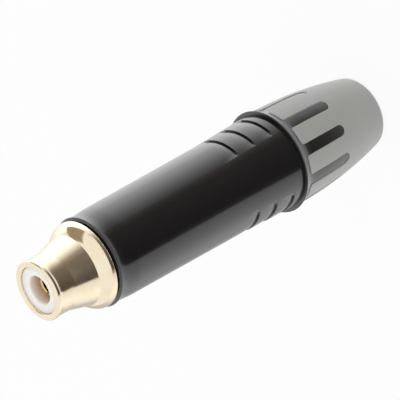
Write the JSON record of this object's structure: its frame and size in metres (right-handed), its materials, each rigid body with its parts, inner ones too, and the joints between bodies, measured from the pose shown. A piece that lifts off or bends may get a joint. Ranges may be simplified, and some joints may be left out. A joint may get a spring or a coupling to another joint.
{
  "type": "in-line phono socket",
  "caption": "Straight cable-end phono socket: gold jack with a white insulator, black tapered shell with finger notches, two-tone screw boot that clamps the cable.",
  "frame": {"origin": "centre of the boot's rear end, where the cable enters", "axes": "+Z along the axis from the cable end to the tip of the jack, -Y through the middle of the bare panel between two groups of finger notches"},
  "size_m": [0.0152, 0.0152, 0.0606],
  "materials": {
    "shell_black": "satin black finish over die-cast metal",
    "jack_gold": "polished gold plating over turned brass",
    "insulator_white": "smooth white engineering plastic",
    "contact_gold": "gold plating over sprung brass",
    "washer_brown": "brown laminated washer",
    "lug_tin": "dull tin plating",
    "liner_natural": "natural translucent nylon",
    "chuck_black": "black nylon",
    "core_black": "fine grained black plastic",
    "grip_grey": "soft grey elastomer, fine matt grain"
  },
  "bodies": {
    "boot": {"boot_core": "core_black", "boot_grip": "grip_grey"},
    "chuck": {"chuck": "chuck_black"},
    "shell": {"shell": "shell_black"},
    "liner": {"liner": "liner_natural"},
    "jack": {"jack_body": "jack_gold", "jack_insulator": "insulator_white", "centre_contact": "contact_gold", "rear_washer": "washer_brown", "earth_lug": "lug_tin"}
  },
  "joints": [
    {"name": "shell_turn", "type": "hinge", "parent": "boot", "child": "chuck", "pos_m": [0, 0, 0.02], "axis": [0, 0, 1], "range_deg": [0, 2160]},
    {"name": "shell_rise", "type": "slide", "parent": "chuck", "child": "shell", "axis": [0, 0, 1], "range_m": [0, 0.006]},
    {"name": "liner_slide", "type": "slide", "parent": "shell", "child": "liner", "axis": [0, 0, 1], "range_m": [0, 0.0045]},
    {"name": "jack_turn", "type": "hinge", "parent": "liner", "child": "jack", "pos_m": [0, 0, 0.05], "axis": [0, 0, 1], "range_deg": [0, 2160]}
  ],
  "couplings": [
    {"joint": "shell_rise", "follows": "shell_turn", "m_per_rad": 0.00015915},
    {"joint": "liner_slide", "follows": "jack_turn", "m_per_rad": 0.00011937}
  ]
}
